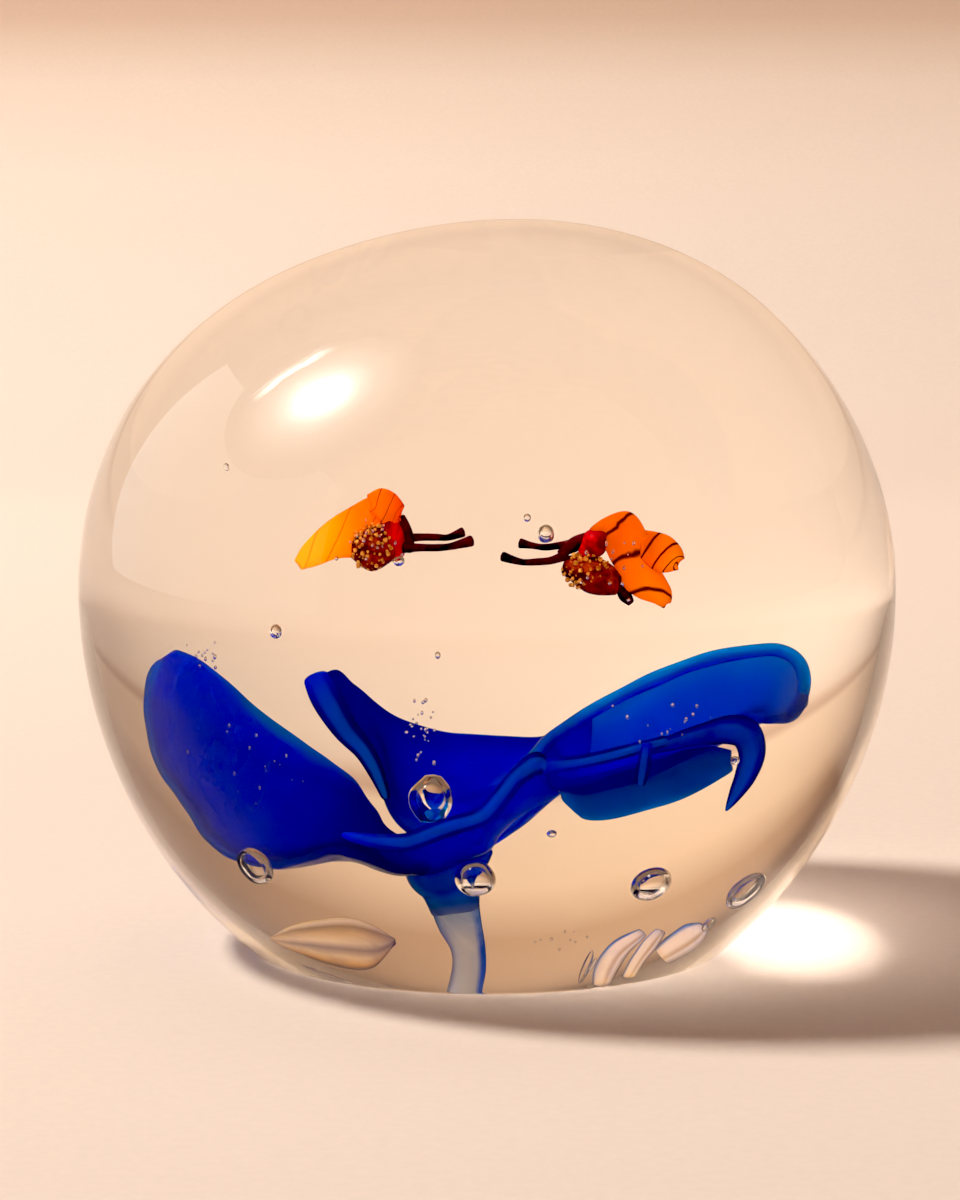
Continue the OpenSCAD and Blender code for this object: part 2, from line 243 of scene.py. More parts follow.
def ramp_node(tree, source, stops):
    """A colour ramp from stops of place, colour and, if wanted, strength."""
    n = node(tree, "ShaderNodeValToRGB")
    while len(n.color_ramp.elements) < len(stops):
        n.color_ramp.elements.new(0.5)
    for element, (place, colour, *strength) in zip(n.color_ramp.elements, stops):
        element.position = place
        element.color = (*colour, *(strength or [1]))
    tree.links.new(source, n.inputs[0])
    return n


def ramp(tree, source, stops):
    return ramp_node(tree, source, stops).outputs[0]


def math_node(tree, operation, a, b=None, clamp=False):
    n = node(tree, "ShaderNodeMath", operation=operation, use_clamp=clamp)
    for socket, value in zip(n.inputs, (a, b)):
        if value is None:
            continue
        if isinstance(value, (int, float)):
            socket.default_value = value
        else:
            tree.links.new(value, socket)
    return n.outputs[0]


def mix_colour(tree, factor, a, b, blend="MIX"):
    n = node(tree, "ShaderNodeMix", data_type="RGBA", blend_type=blend)
    for socket, value in zip((n.inputs[0], n.inputs[6], n.inputs[7]), (factor, a, b)):
        if isinstance(value, (int, float)):
            socket.default_value = value
        elif isinstance(value, tuple):
            socket.default_value = (*value, 1)
        else:
            tree.links.new(value, socket)
    return n.outputs[2]


def object_noise(tree, scale, detail=3, stretch=(1, 1, 1), distortion=0.0, roughness=0.5):
    place = node(tree, "ShaderNodeTexCoord")
    size = node(tree, "ShaderNodeMapping")
    size.inputs["Scale"].default_value = stretch
    n = node(tree, "ShaderNodeTexNoise")
    n.inputs["Scale"].default_value = scale
    n.inputs["Detail"].default_value = detail
    n.inputs["Distortion"].default_value = distortion
    n.inputs["Roughness"].default_value = roughness
    tree.links.new(place.outputs["Object"], size.inputs[0])
    tree.links.new(size.outputs[0], n.inputs["Vector"])
    return n.outputs["Fac"]


def attribute(tree, name):
    return node(tree, "ShaderNodeAttribute", attribute_name=name).outputs["Fac"]


def bump(tree, height, strength, distance):
    n = node(tree, "ShaderNodeBump")
    n.inputs["Strength"].default_value = strength
    n.inputs["Distance"].default_value = distance
    tree.links.new(height, n.inputs["Height"])
    return n.outputs[0]


def clear_glass():
    """Thick clear glass with a faint warm tint and very slight surface waves."""
    mat, tree, out = new_material("clear_glass")
    glass = node(tree, "ShaderNodeBsdfPrincipled")
    glass.inputs["Base Color"].default_value = (1, 1, 1, 1)
    glass.inputs["Transmission Weight"].default_value = 1
    glass.inputs["IOR"].default_value = 1.5
    glass.inputs["Roughness"].default_value = 0
    glass.inputs["Specular Tint"].default_value = (0.3, 0.3, 0.3, 1)
    waves = object_noise(tree, scale=55, detail=2)
    tree.links.new(bump(tree, waves, strength=0.12, distance=0.0004), glass.inputs["Normal"])
    tree.links.new(glass.outputs[0], out.inputs["Surface"])
    absorb = node(tree, "ShaderNodeVolumeAbsorption")
    absorb.inputs["Color"].default_value = (0.985, 0.93, 0.83, 1)
    absorb.inputs["Density"].default_value = 14
    tree.links.new(absorb.outputs[0], out.inputs["Volume"])
    return mat


def through_and_glow(tree, colour, normal, clear, glow, ior):
    """Glass that is partly clear and partly glows with the light that falls on its far side."""
    body = node(tree, "ShaderNodeBsdfPrincipled")
    body.inputs["IOR"].default_value = ior
    body.inputs["Roughness"].default_value = 0
    body.inputs["Specular IOR Level"].default_value = 0.3
    body.inputs["Transmission Weight"].default_value = clear
    tree.links.new(colour, body.inputs["Base Color"])
    tree.links.new(normal, body.inputs["Normal"])
    through = node(tree, "ShaderNodeBsdfTranslucent")
    tree.links.new(colour, through.inputs["Color"])
    blend = node(tree, "ShaderNodeMixShader")
    blend.inputs[0].default_value = glow
    tree.links.new(body.outputs[0], blend.inputs[1])
    tree.links.new(through.outputs[0], blend.inputs[2])
    return blend.outputs[0]


def coloured_glass(
        name, across_stops, run_stops, streak, clear=0.9, glow=0.2, outline_dark=0.35, depth=900):
    """Coloured glass with darker outlines. across_stops goes from the far or upper edge to the near or lower
    edge, run_stops is laid over it from the root to the tip, and streak colours the streaks. depth is the
    strength of the blue absorption inside it, or 0 for none."""
    mat, tree, out = new_material(name)
    wave = object_noise(tree, scale=170, detail=4, stretch=(1, 1, 0.45), distortion=0.6)
    drift = math_node(tree, "MULTIPLY", math_node(tree, "SUBTRACT", wave, 0.5), 0.14)
    across = math_node(tree, "ADD", attribute(tree, "across"), drift, True)
    run = math_node(tree, "ADD", attribute(tree, "run"), drift, True)
    over = ramp_node(tree, run, run_stops)
    colour = mix_colour(tree, over.outputs[1], ramp(tree, across, across_stops), over.outputs[0])
    lines = object_noise(tree, scale=420, detail=5, stretch=(0.35, 1, 0.35), distortion=1.2, roughness=0.62)
    streaks = ramp(tree, lines, [(0.48, (0, 0, 0)), (0.8, (0.8, 0.8, 0.8))])
    colour = mix_colour(tree, streaks, colour, streak)
    facing = node(tree, "ShaderNodeLayerWeight").outputs["Facing"]
    dark = (outline_dark, outline_dark, outline_dark)
    colour = mix_colour(tree, 1.0, colour, ramp(tree, facing, [(0.5, (1, 1, 1)), (0.88, dark)]), "MULTIPLY")
    skin = through_and_glow(tree, colour, bump(tree, lines, strength=0.25, distance=0.0002), clear, glow,
        ior=1.06)
    tree.links.new(skin, out.inputs["Surface"])
    if depth:
        absorb = node(tree, "ShaderNodeVolumeAbsorption")
        absorb.inputs["Color"].default_value = (0.05, 0.4, 0.97, 1)
        absorb.inputs["Density"].default_value = depth
        tree.links.new(absorb.outputs[0], out.inputs["Volume"])
    return mat


def wing_glass(name, tip, root, vein, vein_share):
    """Amber glass that deepens from tip to root, with drawn veins across the wing."""
    mat, tree, out = new_material(name)
    cloud = object_noise(tree, scale=260, detail=3, stretch=(1, 1, 1), distortion=0.5)
    drift = math_node(tree, "MULTIPLY", math_node(tree, "SUBTRACT", cloud, 0.5), 0.5)
    run = attribute(tree, "run")
    colour = ramp(tree, math_node(tree, "ADD", run, drift, True), [(0.3, tip), (0.85, root)])
    slant = math_node(tree, "MULTIPLY", attribute(tree, "across"), 0.35)
    place = math_node(tree, "ADD", math_node(tree, "ADD", run, slant),
        math_node(tree, "MULTIPLY", drift, 0.4))
    wave = math_node(tree, "SINE", math_node(tree, "MULTIPLY", place, 21))
    dark = ramp(tree, wave, [(1 - vein_share, (0, 0, 0)), (1.0, (1, 1, 1))])
    colour = mix_colour(tree, dark, colour, vein)
    skin = through_and_glow(tree, colour, bump(tree, cloud, strength=0.3, distance=0.0001), clear=0.35,
        glow=0.5, ior=1.05)
    tree.links.new(skin, out.inputs["Surface"])
    return mat


def dark_glass(name, deep, light, scale):
    """Nearly opaque glass, mottled between two dark colours."""
    mat, tree, out = new_material(name)
    mottle = object_noise(tree, scale, detail=4, stretch=(1, 1, 1), distortion=0.8, roughness=0.6)
    colour = ramp(tree, mottle, [(0.38, deep), (0.7, light)])
    body = node(tree, "ShaderNodeBsdfPrincipled")
    body.inputs["IOR"].default_value = 1.08
    body.inputs["Roughness"].default_value = 0.22
    tree.links.new(colour, body.inputs["Base Color"])
    tree.links.new(bump(tree, mottle, strength=0.4, distance=0.0001), body.inputs["Normal"])
    tree.links.new(body.outputs[0], out.inputs["Surface"])
    return mat


def gold():
    """Gold grains, mottled from dark to bright."""
    mat, tree, out = new_material("gold_frit")
    grain = object_noise(tree, scale=3000, detail=2)
    colour = ramp(tree, grain, [(0.35, (0.55, 0.22, 0.02)), (0.65, (1.0, 0.62, 0.14))])
    body = node(tree, "ShaderNodeBsdfPrincipled")
    body.inputs["Metallic"].default_value = 0.75
    body.inputs["Roughness"].default_value = 0.35
    tree.links.new(colour, body.inputs["Base Color"])
    tree.links.new(body.outputs[0], out.inputs["Surface"])
    return mat


COBALT = (0.0, 0.045, 1.0)
BRIGHT = (0.0, 0.16, 1.0)
NAVY = (0.0, 0.02, 0.35)
# The darkest blue below is used only for painted shade.
SHADE_BLUE = (0.0, 0.003, 0.1)
AZURE = (0.0, 0.3, 0.97)
TEAL = (0.01, 0.4, 0.75)
NOTHING = [(0.0, COBALT, 0), (1.0, COBALT, 0)]

glass_mat = clear_glass()
# The left petal darkens to its deepest blue at its root, where it goes down into the throat: painted shade.
left_mat = coloured_glass(
    "left_petal_glass", [(0.0, (0.0, 0.2, 0.7)), (0.04, COBALT), (0.5, COBALT), (0.93, COBALT),
        (1.0, AZURE)],
    [(0.0, SHADE_BLUE, 0.9), (0.3, NAVY, 0.8), (0.6, COBALT, 0.0), (1.0, COBALT, 0.0)], (0.0, 0.03, 0.7))
back_mat = coloured_glass(
    "back_petal_glass", [(0.0, NAVY), (0.15, COBALT), (0.7, COBALT), (1.0, AZURE)],
    [(0.0, NAVY, 0.9), (0.35, NAVY, 0.8), (0.6, COBALT, 0.4), (1.0, COBALT, 0.0)], (0.0, 0.01, 0.5))
throat_mat = coloured_glass(
    "throat_glass", [(0.0, TEAL), (0.3, (0.0, 0.15, 0.8)), (0.8, COBALT), (1.0, COBALT)],
    [(0.0, NAVY, 0.8), (0.3, NAVY, 0.3), (0.6, TEAL, 0.3), (1.0, COBALT, 0.4)], (0.0, 0.03, 0.6))
# The azure along the right petal's upper edge is partly thin glass at the rim and partly a painted
# highlight.
right_mat = coloured_glass(
    "right_petal_glass", [(0.0, AZURE), (0.12, (0.0, 0.12, 0.9)), (0.6, (0.0, 0.05, 0.8)), (1.0, COBALT)],
    [(0.0, COBALT, 0.7), (0.4, COBALT, 0.3), (0.75, (0.05, 0.16, 0.5), 0.5), (1.0, (0.12, 0.2, 0.4), 0.95)],
    (0.0, 0.03, 0.6))
flap_mat = coloured_glass(
    "flap_glass", [(0.0, NAVY), (0.3, (0.0, 0.1, 0.5)), (0.85, (0.0, 0.14, 0.6)), (1.0, AZURE)],
    [(0.0, AZURE, 0.6), (0.12, AZURE, 0.0), (1.0, COBALT, 0.0)], (0.0, 0.02, 0.3))
# The paler rolled rim below is partly thin glass and partly a painted highlight along the rim.
rim_mat = coloured_glass(
    "rim_glass", [(0.0, (0.0, 0.45, 1.0)), (0.5, (0.0, 0.32, 1.0)), (1.0, COBALT)], NOTHING,
    (0.0, 0.05, 0.9), clear=0.85, glow=0.3)
# The claw has dark bands down both sides, with brighter blue between: painted shade.
claw_mat = coloured_glass(
    "claw_glass",
    [(0.0, SHADE_BLUE), (0.1, NAVY), (0.3, (0.0, 0.2, 1.0)), (0.66, (0.0, 0.16, 0.9)), (0.88, NAVY), (1.0, SHADE_BLUE)],
    NOTHING, (0.0, 0.05, 0.5), clear=0.85, glow=0.3)
# The rods in lip_glass have dark bands down both sides, with brighter blue between: painted shade.
lip_mat = coloured_glass(
    "lip_glass", [(0.0, SHADE_BLUE), (0.12, SHADE_BLUE), (0.3, BRIGHT), (0.66, BRIGHT), (0.86, SHADE_BLUE), (1.0, SHADE_BLUE)],
    [(0.0, COBALT, 1.0), (0.25, COBALT, 0.3), (1.0, COBALT, 0.0)], (0.0, 0.06, 1.0), clear=0.35, glow=0.65,
    outline_dark=0.25, depth=250)
calyx_mat = coloured_glass(
    "calyx_glass", [(0.0, TEAL), (0.3, (0.0, 0.08, 0.6)), (1.0, (0.0, 0.1, 0.6))],
    [(0.0, (0.35, 0.5, 0.75), 0.9), (0.2, (0.1, 0.3, 0.7), 0.6), (0.5, AZURE, 0.2), (1.0, COBALT, 0.5)],
    (0.0, 0.03, 0.3), clear=0.6, glow=0.4)
stem_mat = coloured_glass(
    "stem_glass", [(0.0, (0.35, 0.42, 0.6)), (0.2, (0.52, 0.62, 0.75)), (0.8, (0.42, 0.52, 0.68)),
        (0.92, (0.02, 0.1, 0.7))],
    [(0.0, (0.6, 0.7, 0.9), 0), (0.6, (0.4, 0.5, 0.8), 0.0), (0.85, (0.1, 0.3, 0.7), 0.6),
     (1.0, (0.05, 0.2, 0.7), 0.9)],
    (0.68, 0.8, 0.9), clear=0.4, glow=0.4, outline_dark=0.6, depth=0)
amber_mat = wing_glass("amber_glass", (1.0, 0.62, 0.0), (0.95, 0.27, 0.0), (0.3, 0.03, 0.0),
    vein_share=0.01)
deep_amber_mat = wing_glass("deep_amber_glass", (0.95, 0.3, 0.0), (0.85, 0.14, 0.0), (0.2, 0.02, 0.0),
    vein_share=0.04)
striped_mat = wing_glass("striped_amber_glass", (0.75, 0.2, 0.0), (0.95, 0.36, 0.0), (0.06, 0.004, 0.0),
    vein_share=0.2)
# The pale bands of cream, white, lavender and grey below are painted reflections and highlights, standing in
# for a flat air pocket.
fold_reflection_mat = coloured_glass(
    "left_fold_reflection_glass",
    [(0.0, (1.0, 0.9, 0.55)), (0.1, (1.0, 1.0, 1.0)), (0.2, (0.4, 0.34, 0.24)), (0.34, (0.9, 0.78, 0.58)),
     (0.5, (1.0, 1.0, 1.0)), (0.64, (0.42, 0.42, 0.52)), (0.78, (1.0, 0.97, 0.92)),
     (0.9, (0.9, 0.72, 0.46)),
     (1.0, (0.25, 0.26, 0.34))],
    [(0.0, (0.9, 0.7, 0.4), 0.3), (0.3, (0.9, 0.8, 0.6), 0.0), (0.7, (0.5, 0.45, 0.55), 0.15),
     (1.0, (0.15, 0.13, 0.35), 0.85)],
    (0.34, 0.34, 0.42), clear=0.85, glow=0.3, outline_dark=0.3, depth=0)
# The white, brown and blue bands below are painted reflections and highlights on the right folds.
gleam_mat = coloured_glass(
    "right_fold_gleam_glass",
    [(0.0, (0.02, 0.12, 0.6)), (0.14, (0.1, 0.25, 0.7)), (0.24, (1.0, 1.0, 1.0)), (0.6, (1.0, 1.0, 1.0)),
     (0.78, (0.55, 0.42, 0.25)), (0.9, (1.0, 1.0, 1.0)), (1.0, (0.5, 0.45, 0.4))],
    [(0.0, (1.0, 0.8, 0.4), 0.5), (0.25, (1, 1, 1), 0.1), (0.8, (1, 1, 1), 0.0),
     (1.0, (0.02, 0.12, 0.6), 0.5)],
    (0.55, 0.6, 0.85), clear=0.5, glow=0.7, outline_dark=0.2, depth=0)
ruby_mat = dark_glass("ruby_glass", (0.1, 0.003, 0.003), (0.55, 0.02, 0.01), scale=500)
garnet_mat = dark_glass("garnet_glass", (0.035, 0.006, 0.002), (0.3, 0.05, 0.005), scale=700)
black_mat = dark_glass("black_glass", (0.008, 0.002, 0.002), (0.07, 0.008, 0.006), scale=600)
gold_mat = gold()


# The clear body

def outline(steps_crown=46, steps_shoulder=80, steps_flank=90, steps_edge=14):
    """Half outline of the body, from the top on its axis to the edge of the ground base, in millimetres."""
    shoulder_x = BODY_R - SHOULDER_R
    rise = BODY_H - WAIST_Z - SHOULDER_R
    drop = (shoulder_x**2 - rise**2) / (2 * rise)
    crown_r = BODY_H - WAIST_Z + drop
    flank_x = BODY_R - FLANK_R
    edge_x = flank_x + math.sqrt((FLANK_R - BASE_EDGE_R) ** 2 - (WAIST_Z - BASE_EDGE_R) ** 2)
    tilt = math.atan2(shoulder_x, drop)
    low = math.atan2(BASE_EDGE_R - WAIST_Z, edge_x - flank_x)
    parts = [
        ((0, WAIST_Z - drop), crown_r, math.pi / 2, math.pi / 2 - tilt, steps_crown),
        ((shoulder_x, WAIST_Z), SHOULDER_R, math.pi / 2 - tilt, 0, steps_shoulder),
        ((flank_x, WAIST_Z), FLANK_R, 0, low, steps_flank),
        ((edge_x, BASE_EDGE_R), BASE_EDGE_R, low, -math.pi / 2, steps_edge),
    ]
    points = []
    for (cx, cz), r, start, end, steps in parts:
        for t in np.linspace(start, end, steps, endpoint=False):
            points.append((cx + r * math.cos(t), cz + r * math.sin(t)))
    points.append((edge_x, 0))
    return np.array(points[1:]), edge_x


def body_shift(verts):
    """The lean of the crown and the slight unevenness of a hand-shaped surface."""
    v = verts.copy()
    s = np.clip((v[:, 2] - WAIST_Z) / (BODY_H - WAIST_Z), 0, 1)
    v[:, 0] += LEAN * s**5
    turn = np.arctan2(v[:, 1], v[:, 0])
    keep = np.clip(v[:, 2] / 4, 0, 1)
    swell = 1 + keep * (0.0016 * np.sin(2 * turn + 0.6) + 0.0012 * np.sin(3 * turn + v[:, 2] / 13))
    v[:, 0] *= swell
    v[:, 1] *= swell
    return v


def ball(centre, radii, rings=20, sides=30, tilt=0.0, rough=0.03, seed=5):
    """Rings of a slightly uneven bubble. tilt raises its right side."""
    t = (np.arange(rings) + 0.5) / rings * math.pi
    w = np.arange(sides) * 2 * math.pi / sides
    at = np.stack([
        np.sin(t)[:, None] * np.cos(w), np.sin(t)[:, None] * np.sin(w), np.cos(t)[:, None] * np.ones(sides)
    ], -1)
    at = at * (1 + rough * ripple(at * 3, 4, seed))[..., None] * np.array(radii)
    turn = np.array(Euler((0, -tilt, 0)).to_matrix())
    return at @ turn.T + np.array(centre)


# Where fine seed bubbles gather: centre, spread and count
SEEDS = [
    ((-18, -12, 23), (4.0, 0.6, 4.0), 16), ((-4.6, -6.5, 26), (1.0, 0.5, 2.6), 26),
    ((-20.5, -6, 31.2), (1.6, 0.5, 1.0), 14),
    ((-8, -4.6, 38.6), (2.6, 0.3, 2.0), 16), ((8, -4.6, 37.4), (2.6, 0.3, 2.0), 16),
    ((6, -9, 9.4), (2.4, 0.6, 1.2), 9),
    ((12, -8.5, 26.8), (5.0, 0.6, 1.6), 14),
]

# Air bubbles: centre, half sizes across, deep and high, and tilt
BUBBLES = [
    ((-18.5, -14, 14.1), (1.6, 1.5, 1.8), 0.5), ((-0.9, -10, 14.5), (1.5, 1.4, 1.45), 0.0),
    ((12.4, -12, 13.4), (1.7, 1.5, 1.45), 0.35), ((20.9, -10, 11.2), (2.1, 1.9, 1.7), 0.45),
    ((4, -3, 39), (0.6, 0.6, 0.62), 0), ((2.7, -2, 39.9), (0.27, 0.27, 0.27), 0),
    ((-15.1, -8, 33.1), (0.45, 0.45, 0.5), 0), ((-18.6, -4, 43.8), (0.22, 0.22, 0.3), 0.4),
    ((-3.4, -4, 31.1), (0.2, 0.2, 0.26), 0), ((4.5, -8, 18.1), (0.36, 0.33, 0.3), 0),
    ((18.1, -9, 23.3), (0.4, 0.36, 0.36), 0), ((-6.1, -4.4, 37.4), (0.42, 0.4, 0.34), 0),
    ((7.4, -8.5, 6.2), (0.35, 0.3, 1.8), -0.2), ((8.1, -10.5, 6.0), (0.18, 0.18, 0.8), -0.3),
    ((17.6, -9.4, 8.6), (0.6, 0.5, 0.8), -0.4), ((-13.4, -12.5, 3.0), (2.6, 0.5, 0.25), -0.2),
]


def facing_in(points, faces, start, centre, probe):
    """Faces of a hollow turned towards its centre, judged by the face numbered probe."""
    a, b, c = (points[k - start] for k in faces[probe][:3])
    inward = np.dot(np.cross(b - a, c - a), a - centre) < 0
    return faces if inward else [tuple(reversed(face)) for face in faces]


def make_body():
    """The body with its bubbles as hollows in one closed mesh."""
    profile, edge_x = outline()
    around = 256
    w = np.arange(around) * 2 * math.pi / around
    inner = [edge_x * k for k in (0.96, 0.8, 0.6, 0.4, 0.2)]
    dish = [0.02, 0.06, 0.1, 0.12, DISH_DEPTH]
    profile = np.concatenate([profile, np.stack([inner, dish], -1)])
    rings = np.stack([
        profile[:, 0][:, None] * np.cos(w), profile[:, 0][:, None] * np.sin(w),
        np.repeat(profile[:, 1][:, None], around, 1)
    ], -1)
    verts, faces = loft(rings)
    verts[-2] = (0, 0, BODY_H)
    verts[-1] = (0, 0, DISH_DEPTH)
    verts = body_shift(verts)
    _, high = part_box("clear_casing")
    verts[:, 2] = np.clip(verts[:, 2], 0, high.z / MM)
    body = outward(make_piece("glass_body", verts, faces))
    all_verts = [np.array([v.co for v in body.data.vertices]) / MM]
    all_faces = [tuple(p.vertices) for p in body.data.polygons]
    start = len(verts)
    hollows = [(centre, radii, tilt, 20, 30) for centre, radii, tilt in BUBBLES]
    rng = np.random.RandomState(11)
    for centre, spread, count in SEEDS:
        for _ in range(count):
            at = np.array(centre) + rng.normal(size=3) * spread / 2
            r = rng.uniform(0.06, 0.14)
            hollows.append((at, (r, r, r * rng.uniform(1.0, 1.6)), 0.0, 6, 8))
    for i, (centre, radii, tilt, rings, sides) in enumerate(hollows):
        rings_at = ball(centre, radii, rings, sides, tilt, seed=20 + i)
        v, f = loft(rings_at, start)
        all_verts.append(v)
        all_faces += facing_in(v, f, start, np.array(centre), 0)
        start += len(v)
    throat = rod_rings(
        [(-3.8, -3.4, 19.0), (-3.8, -3.4, 20.2), (-3.75, -3.4, 21.4), (-3.7, -3.4, 22.5)],
        (0.7, 1.45, 1.4, 0.5), 26, 30, 0.05, 9)
    v, f = loft(throat, start)
    all_verts.append(v)
    all_faces += facing_in(v, f, start, throat.reshape(-1, 3).mean(0), len(f) // 3)
    bpy.data.objects.remove(body)
    return make_piece("glass_body", np.concatenate(all_verts), all_faces)


finish_piece(make_body(), glass_mat, "clear_glass", "clear_casing")

# The flower

STEM = [(-1.9, 0, 1.2), (-1.7, 0, 4), (-1.35, 0, 7), (-1.3, 0, 9.5), (-1.7, 0, 11.5), (-2.1, 0, 13.6)]
finish_piece(
    rod("stem", STEM, [1.0, 1.3, 1.12, 1.15, 1.35, 1.6], rings=90, sides=32, rough=0.12, seed=12),
    stem_mat, "stem_glass", "flower_stem")

CALYX = [(-2.0, 0, 12.4), (-2.3, -0.4, 14.1), (-2.7, -1, 15.5), (-2.8, -1.5, 17)]
finish_piece(
    rod("calyx", CALYX, [1.5, 1.9, 2.6, 3.1], rings=60, sides=40, rough=0.1, seed=13),
    calyx_mat, "teal_glass", "flower_calyx")

LIP = [
    (-10.5, -8.7, 17.9), (-8.3, -8.7, 17.5), (-6.2, -8.7, 17.4), (-5, -8.6, 17.7), (-2.7, -8.4, 18.7),
    (-0.4, -8, 19.5), (0.8, -7.5, 20.8), (1.9, -7, 22.3), (3.1, -6.4, 23.3), (3.6, -6, 23.4),
]
finish_piece(
    rod("front_lip_roll", LIP, [0.3, 0.55, 0.68, 0.7, 0.7, 0.72, 0.66, 0.68, 0.85, 0.95], rings=120,
        sides=28, rough=0.05, seed=14),
    lip_mat, "cobalt_glass", "front_lip", "lip_knob")

THROAT = [
    (-6.1, -4.6, 15.9), (-4.8, -3.6, 15.3), (-3.2, -2.8, 15.6), (-1.4, -2.4, 16.5), (-0.2, -2.6, 17.3),
    (0.4, -3.1, 18.5), (1.5, -3.6, 19.5), (3, -4, 20.4), (4.8, -4.2, 21.2),
]
finish_piece(
    sheet("throat_wall", THROAT, LIP[1:], [(0, -0.1, -0.3), (0, -0.3, -0.9), (0, 0, -0.4)], thick=1.0,
        bead=0.2, rough=0.1, seed=15),
    throat_mat, "cobalt_glass", "petal_front")

LEFT_FAR = [
    (-3.6, 2, 16.8), (-6.5, 3, 18.7), (-7.3, 3, 20.1), (-8.5, 3, 22), (-10.1, 2.5, 23.3), (-11.9, 2, 24.6),
    (-14.9, 1, 26.8), (-17.3, 0, 28.9), (-19.8, -2, 30.6), (-21.8, -3.9, 31.2),
]
LEFT_NEAR = [
    (-4, -4, 16.2), (-6.5, -7, 15.7), (-9, -8.5, 16.6), (-11.1, -9, 16.9), (-13.2, -9.5, 16),
    (-15.6, -10, 14.9), (-18, -10, 14.8), (-20.2, -10, 15.1), (-22.1, -10, 16.4), (-23.9, -9.8, 19.1),
    (-25.6, -9, 22), (-26, -7.8, 25.8), (-25, -6.2, 28.8), (-23.4, -5, 30.5),
]
LEFT_SAG = [(0, 0, -0.5), (0, 1.5, -1.4), (0, 2.6, -1.6), (0, 2, -1), (0, 0.6, -0.2)]
finish_piece(
    sheet("left_petal", LEFT_FAR, LEFT_NEAR, LEFT_SAG, thick=1.35, bead=0.45, rough=0.22, rings=150,
        sides=72, seed=16),
    left_mat, "cobalt_glass", "petal_left")

BACK_TOP = [
    (-10, 9, 28.7), (-9.1, 9.5, 29), (-8, 10, 28), (-6.7, 10, 26.8), (-5.2, 10, 25.8), (-2.8, 10, 25),
    (-1, 10, 24.8), (0.8, 9.8, 24.7), (3.2, 9, 24.7), (4.8, 7, 25.3), (6.6, 5.4, 26.4),
]
BACK_LOW = [
    (-10, 8.8, 28.2), (-8.4, 7.8, 25.4), (-7, 6.6, 23.5), (-6.4, 5, 21.2), (-5.4, 3.6, 18.8),
    (-3, 2.2, 17.2),
    (-0.6, 1.8, 17.4), (1.4, 1.6, 18.8), (3.4, 1.4, 20.8), (5.6, 1.6, 22.4),
]
finish_piece(
    sheet("back_petal", BACK_TOP, BACK_LOW, [(0, 0, 0), (0, 1.4, -0.4), (0, 1.4, -1), (0, 0, -1.2)],
          thick=1.1, bead=0.5, rough=0.16, rings=120, sides=60, seed=17),
    back_mat, "cobalt_glass", "petal_back")

BACK_ROLL = [
    (-10.5, 9, 28.8), (-9.8, 8.5, 27.2), (-8.7, 7.8, 25.2), (-7.6, 7, 23.8), (-6.9, 6, 22.4),
    (-6.3, 4.8, 20.6),
]
finish_piece(
    rod("back_petal_roll", BACK_ROLL, [0.8, 0.95, 0.8, 0.62, 0.5, 0.3], rings=80, sides=26, rough=0.05,
        seed=18),
    lip_mat, "cobalt_glass", "back_roll")

RIGHT_FAR = [
    (3.3, -3.4, 23.9), (3.9, -1.4, 24.5), (4.8, 2, 25.5), (7.4, 4.8, 27), (10.7, 5, 28.8),
    (14.1, 4.5, 30.2),
    (17.8, 3, 30.9), (19.5, 2, 30.9), (20.9, 1, 30.1), (21.5, 0.5, 28.7), (21.2, 0, 27.2),
]
RIGHT_NEAR = [
    (4.2, -5.5, 23.1), (6.7, -5.8, 23.5), (9, -6, 24.1), (11.6, -5.9, 24.8), (14, -5.6, 25.6),
    (16.3, -5.2, 26.4), (17.8, -4.6, 26.7), (19.2, -3.4, 26.2), (20.3, -1.2, 26),
]
RIGHT_SAG = [(0, 0, -1.4), (0, 0, -3), (0, 0.3, -3.6), (0, 0.6, -2.8), (0.4, 0.6, -1.4), (0.6, 0, 0)]
finish_piece(
    sheet("right_petal", RIGHT_FAR, RIGHT_NEAR, RIGHT_SAG, thick=1.1, bead=0.3, rough=0.12, rings=140,
        sides=64, seed=19),
    right_mat, "cobalt_glass", "petal_right")

FAR_ROLL = [
    (2.9, -5, 23.3), (3.3, -3.2, 24), (4.4, 0.6, 25.2), (7.2, 4.3, 27), (10.6, 4.7, 28.8),
    (14.1, 4.2, 30.2),
    (17.8, 2.8, 30.9), (19.6, 1.8, 30.8), (20.9, 0.9, 30), (21.4, 0.3, 28.6), (21.1, -0.2, 27.2),
    (20.2, -0.9, 26.1),
]
finish_piece(
    rod("right_petal_roll", FAR_ROLL, [0.5, 0.5, 0.42, 0.45, 0.5, 0.5, 0.48, 0.5, 0.5, 0.5, 0.48, 0.35],
        rings=130, sides=24, rough=0.05, seed=20),
    rim_mat, "teal_glass")

RIM = [(3.5, -6, 23.2), (5.6, -6.1, 23.4), (7.8, -6.2, 23.8), (10.2, -6.2, 24.4), (12.6, -5.9, 25)]
finish_piece(
    rod("right_rim_roll", RIM, [0.7, 0.55, 0.5, 0.5, 0.45], rings=60, sides=24, rough=0.05, seed=21),
    lip_mat, "cobalt_glass", "right_rim")

CLAW = [
    (10.6, -5.8, 24.2), (12.4, -5.7, 24.7), (14.8, -5.4, 25.3), (16.9, -5.2, 25.6), (18.2, -5, 25.2),
    (18.7, -5, 23.8), (18.3, -5, 22.2), (17.6, -5, 20.8), (16.8, -5, 19.4),
]
finish_piece(
    rod("claw", CLAW, [0.35, 0.55, 0.8, 1.1, 1.2, 1.1, 0.9, 0.6, 0.14], rings=110, sides=30, rough=0.06,
        seed=22),
    claw_mat, "teal_glass", "rim_hook")

